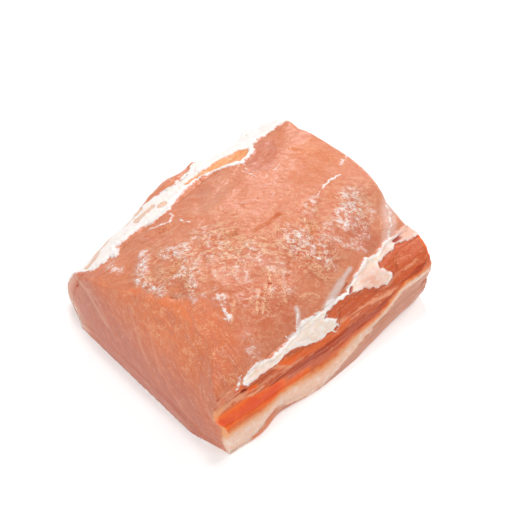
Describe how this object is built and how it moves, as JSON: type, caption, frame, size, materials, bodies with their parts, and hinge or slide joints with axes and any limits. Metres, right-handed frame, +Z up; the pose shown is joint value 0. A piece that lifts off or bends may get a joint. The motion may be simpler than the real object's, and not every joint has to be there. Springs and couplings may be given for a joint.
{
  "type": "pork loin",
  "caption": "Raw boneless pork loin block with a leaning cut face, a white fat cap and layered lean and fat along one side.",
  "frame": {"origin": "middle of the bounding box's underside, on the surface that the block rests on", "axes": "+Z up, +Y along the grain from the leaning near cut to the far cut, +X across the block from the fat cap to the layered side"},
  "size_m": [0.1264, 0.1376, 0.058],
  "materials": {
    "eye_lean": "moist salmon-pink raw lean meat, glossy",
    "white_fat": "white raw fat, satin",
    "dark_lean": "moist dark red raw lean meat, glossy",
    "cream_fat": "cream raw fat, satin",
    "under_lean": "moist pinkish-brown raw lean meat",
    "sliver_lean": "moist orange-pink raw lean meat"
  },
  "bodies": {
    "root": {"loin_eye": "eye_lean", "seam_fat": "white_fat", "side_muscle": "dark_lean", "side_fat": "cream_fat", "under_lean": "under_lean", "fat_cap": "white_fat", "inner_lean": "sliver_lean", "outer_lean_mid": "sliver_lean", "outer_lean_far": "sliver_lean"}
  },
  "joints": []
}
